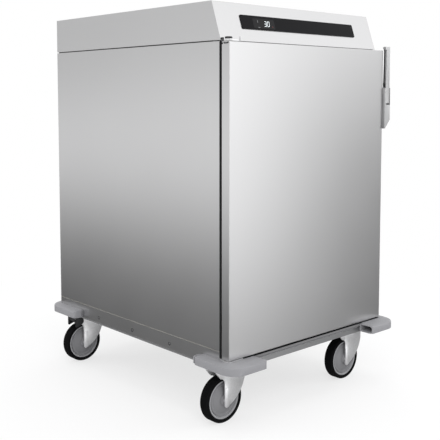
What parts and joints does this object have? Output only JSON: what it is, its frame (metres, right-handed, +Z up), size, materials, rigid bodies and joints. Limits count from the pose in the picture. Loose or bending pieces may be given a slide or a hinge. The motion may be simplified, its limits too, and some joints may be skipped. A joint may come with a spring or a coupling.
{
  "type": "heated banquet cart",
  "caption": "Insulated stainless cabinet on four swivel casters with one hinged door, a sloping control fascia, a side latch, corner bumpers and tray runners inside.",
  "frame": {"origin": "on the floor under the middle of the box over the bumpers", "axes": "+Z up, the door faces -Y, +X to the right of someone who faces the door"},
  "size_m": [0.685, 0.887, 1.104],
  "materials": {
    "stainless": "brushed",
    "stainless_light": "brushed",
    "liner_steel": "satin",
    "frame_steel": "satin",
    "zinc": "bright zinc",
    "cast_latch": "satin",
    "bronze": "satin",
    "foam": "foam",
    "bumper": "moulded",
    "hub_plastic": "moulded",
    "black_plastic": "moulded",
    "panel_gloss": "gloss",
    "seal_rubber": "matte",
    "tyre": "matte",
    "heater_steel": "oxidised",
    "aluminium": "satin"
  },
  "bodies": {
    "cabinet": {"chassis_frame": "frame_steel", "drip_sill": "stainless", "side_skirts": "stainless", "skirt_rivets": "stainless", "floor_pan": "stainless", "left_side_panel": "stainless", "right_side_panel": "stainless", "front_frame": "stainless", "back_panel": "stainless", "roof_panel": "stainless", "insulation": "foam", "inner_liner": "liner_steel", "air_baffle": "liner_steel", "left_rack": "liner_steel", "right_rack": "liner_steel", "heater_element": "heater_steel", "temperature_probe": "heater_steel", "fan_motor": "aluminium", "top_housing": "stainless_light", "housing_seal": "seal_rubber", "control_panel": "panel_gloss", "controller_box": "black_plastic", "vent_cover": "stainless", "cable_gland": "black_plastic", "rear_grips": "stainless", "top_hinge_plate": "zinc", "bottom_hinge_bracket": "zinc", "hinge_pins": "zinc", "strike_plate": "cast_latch", "caster_plates": "zinc", "caster_bolts": "zinc", "bumper_front_left": "bumper", "bumper_front_right": "bumper", "bumper_rear_left": "bumper", "bumper_rear_right": "bumper"},
    "door": {"door_outer_pan": "stainless", "door_core": "foam", "door_inner_panel": "liner_steel", "door_gasket": "seal_rubber", "door_bushes": "bronze", "latch_body": "cast_latch"},
    "latch": {"latch_lever": "cast_latch", "lever_grip": "black_plastic", "latch_claw": "zinc"},
    "fan": {"impeller": "aluminium"},
    "swivel_front_left": {"fork_front_left": "zinc"},
    "wheel_front_left": {"rim_front_left": "hub_plastic", "tyre_front_left": "tyre"},
    "swivel_front_right": {"fork_front_right": "zinc"},
    "wheel_front_right": {"rim_front_right": "hub_plastic", "tyre_front_right": "tyre"},
    "swivel_rear_left": {"fork_rear_left": "zinc"},
    "wheel_rear_left": {"rim_rear_left": "hub_plastic", "tyre_rear_left": "tyre"},
    "pedal_rear_left": {"brake_pedal_rear_left": "black_plastic"},
    "swivel_rear_right": {"fork_rear_right": "zinc"},
    "wheel_rear_right": {"rim_rear_right": "hub_plastic", "tyre_rear_right": "tyre"},
    "pedal_rear_right": {"brake_pedal_rear_right": "black_plastic"}
  },
  "joints": [
    {"name": "door_hinge", "type": "hinge", "parent": "cabinet", "child": "door", "pos_m": [-0.304, -0.3835, 0.6], "axis": [0, 0, -1], "range_deg": [0, 180]},
    {"name": "latch_pull", "type": "hinge", "parent": "door", "child": "latch", "pos_m": [0.3296, -0.393, 0.856], "axis": [1, 0, 0], "range_deg": [0, 35], "stiffness_Nm_per_rad": 1.5, "springref_deg": -11.46},
    {"name": "fan_spin", "type": "hinge", "parent": "cabinet", "child": "fan", "pos_m": [0, 0.147, 0.95], "axis": [0, 0, 1], "continuous": true},
    {"name": "swivel_front_left", "type": "hinge", "parent": "cabinet", "child": "swivel_front_left", "pos_m": [-0.25, -0.32, 0.145], "axis": [0, 0, 1], "continuous": true},
    {"name": "roll_front_left", "type": "hinge", "parent": "swivel_front_left", "child": "wheel_front_left", "pos_m": [-0.272, -0.32, 0.0625], "axis": [0, 1, 0], "continuous": true},
    {"name": "swivel_front_right", "type": "hinge", "parent": "cabinet", "child": "swivel_front_right", "pos_m": [0.25, -0.32, 0.145], "axis": [0, 0, 1], "continuous": true},
    {"name": "roll_front_right", "type": "hinge", "parent": "swivel_front_right", "child": "wheel_front_right", "pos_m": [0.228, -0.32, 0.0625], "axis": [0, 1, 0], "continuous": true},
    {"name": "swivel_rear_left", "type": "hinge", "parent": "cabinet", "child": "swivel_rear_left", "pos_m": [-0.25, 0.36, 0.145], "axis": [0, 0, 1], "continuous": true},
    {"name": "roll_rear_left", "type": "hinge", "parent": "swivel_rear_left", "child": "wheel_rear_left", "pos_m": [-0.272, 0.36, 0.0625], "axis": [0, 1, 0], "continuous": true},
    {"name": "brake_rear_left", "type": "hinge", "parent": "swivel_rear_left", "child": "pedal_rear_left", "pos_m": [-0.292, 0.36, 0.13], "axis": [0, -1, 0], "range_deg": [0, 10]},
    {"name": "swivel_rear_right", "type": "hinge", "parent": "cabinet", "child": "swivel_rear_right", "pos_m": [0.25, 0.36, 0.145], "axis": [0, 0, 1], "continuous": true},
    {"name": "roll_rear_right", "type": "hinge", "parent": "swivel_rear_right", "child": "wheel_rear_right", "pos_m": [0.228, 0.36, 0.0625], "axis": [0, 1, 0], "continuous": true},
    {"name": "brake_rear_right", "type": "hinge", "parent": "swivel_rear_right", "child": "pedal_rear_right", "pos_m": [0.208, 0.36, 0.13], "axis": [0, -1, 0], "range_deg": [0, 10]}
  ]
}
